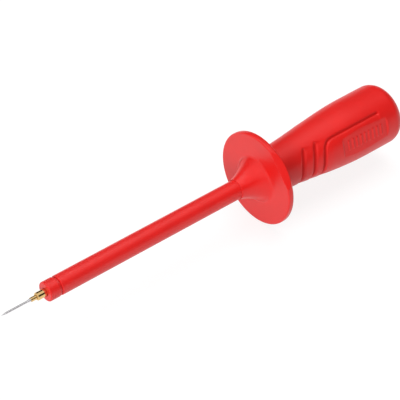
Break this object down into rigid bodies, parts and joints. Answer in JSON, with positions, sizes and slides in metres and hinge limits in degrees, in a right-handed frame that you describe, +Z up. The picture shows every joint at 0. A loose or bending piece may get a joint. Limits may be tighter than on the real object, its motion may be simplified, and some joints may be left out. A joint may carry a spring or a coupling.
{
  "type": "spring-tipped test probe",
  "caption": "Slim hand-held test probe with a sprung needle tip, insulated shank, round finger guard and flared handle with a shrouded 4 mm socket at the rear.",
  "frame": {"origin": "on the table plane, under the middle of the probe's bounding box", "axes": "+X runs along the probe from its point to the rear of its handle, +Z is up, and the guard's slanted flat is on the -Y side of its upper half"},
  "size_m": [0.146, 0.03, 0.03],
  "materials": {
    "red_plastic": "satin moulded red plastic",
    "white_plastic": "moulded insulating plastic",
    "steel": "bright drawn steel",
    "gold_plating": "bright gold plating",
    "brass": "turned brass",
    "nickel_plating": "nickel plating over brass"
  },
  "bodies": {
    "root": {"finger_guard": "red_plastic", "shank_sleeve": "red_plastic", "nose_cap": "red_plastic", "tip_holder": "gold_plating", "needle_barrel": "gold_plating", "barrel_plug": "brass", "needle_spring": "steel", "conductor_rod": "brass", "clamp_washer": "steel", "handle_shell": "red_plastic", "handle_core": "white_plastic", "socket_contact": "nickel_plating", "contact_ring": "steel", "socket_shroud": "red_plastic"},
    "needle": {"probe_needle": "steel"}
  },
  "joints": [
    {"name": "needle_slide", "type": "slide", "parent": "root", "child": "needle", "axis": [1, 0, 0], "range_m": [0, 0.004], "stiffness_N_per_m": 300, "springref_m": -0.002, "deforming": ["needle_spring"]}
  ]
}
